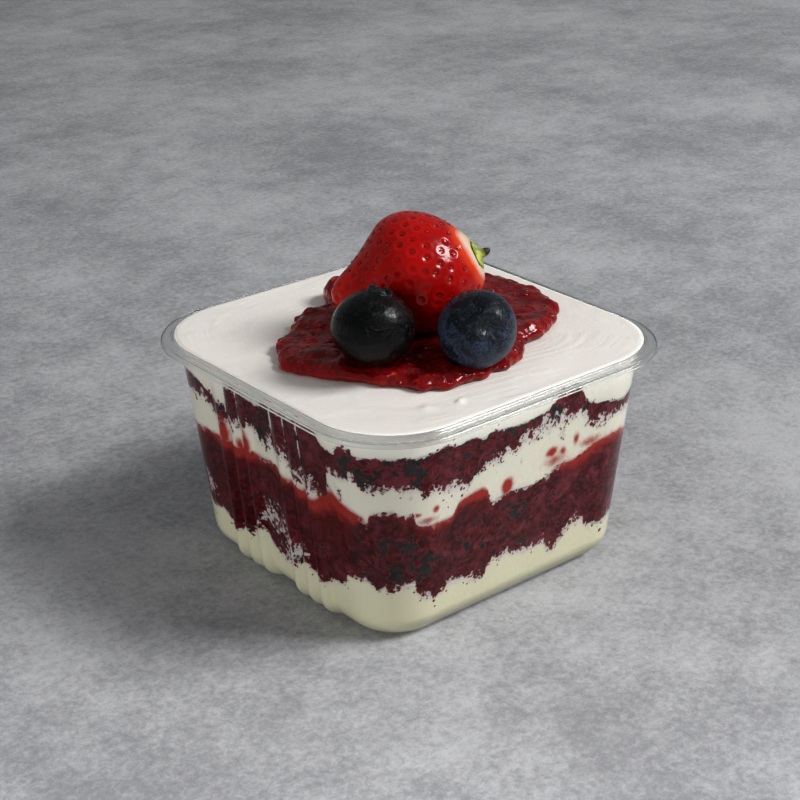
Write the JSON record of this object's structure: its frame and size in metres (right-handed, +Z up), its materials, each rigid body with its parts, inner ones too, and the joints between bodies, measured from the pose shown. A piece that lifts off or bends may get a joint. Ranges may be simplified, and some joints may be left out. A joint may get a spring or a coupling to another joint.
{
  "type": "layered sponge and cream dessert in a tub",
  "caption": "Square clear plastic tub filled with layers of red sponge and cream, topped with berry compote, blueberries and a strawberry lying on its side.",
  "frame": {"origin": "middle of the tub's underside, on the surface it stands on", "axes": "+Z up out of the tub; +X and -X out of the tub's two ribbed walls, +Y and -Y out of its two smooth walls; the fruit's front corner is towards -X and -Y"},
  "size_m": [0.0866, 0.0866, 0.0772],
  "materials": {
    "clear_plastic": "glossy, see-through",
    "cream": "smooth, soft sheen",
    "red_sponge": "open crumb, dull",
    "red_jam": "wet",
    "berry_compote": "wet, lumpy",
    "blueberry_skin": "satin with a thin bloom",
    "strawberry_skin": "glossy",
    "strawberry_leaf": "satin"
  },
  "bodies": {
    "root": {"tub": "clear_plastic", "cream_base": "cream", "sponge_lower": "red_sponge", "jam_layer": "red_jam", "cream_middle": "cream", "sponge_upper": "red_sponge", "cream_top": "cream", "compote": "berry_compote", "blueberry_left": "blueberry_skin", "blueberry_right": "blueberry_skin", "strawberry": "strawberry_skin", "calyx": "strawberry_leaf"}
  },
  "joints": []
}
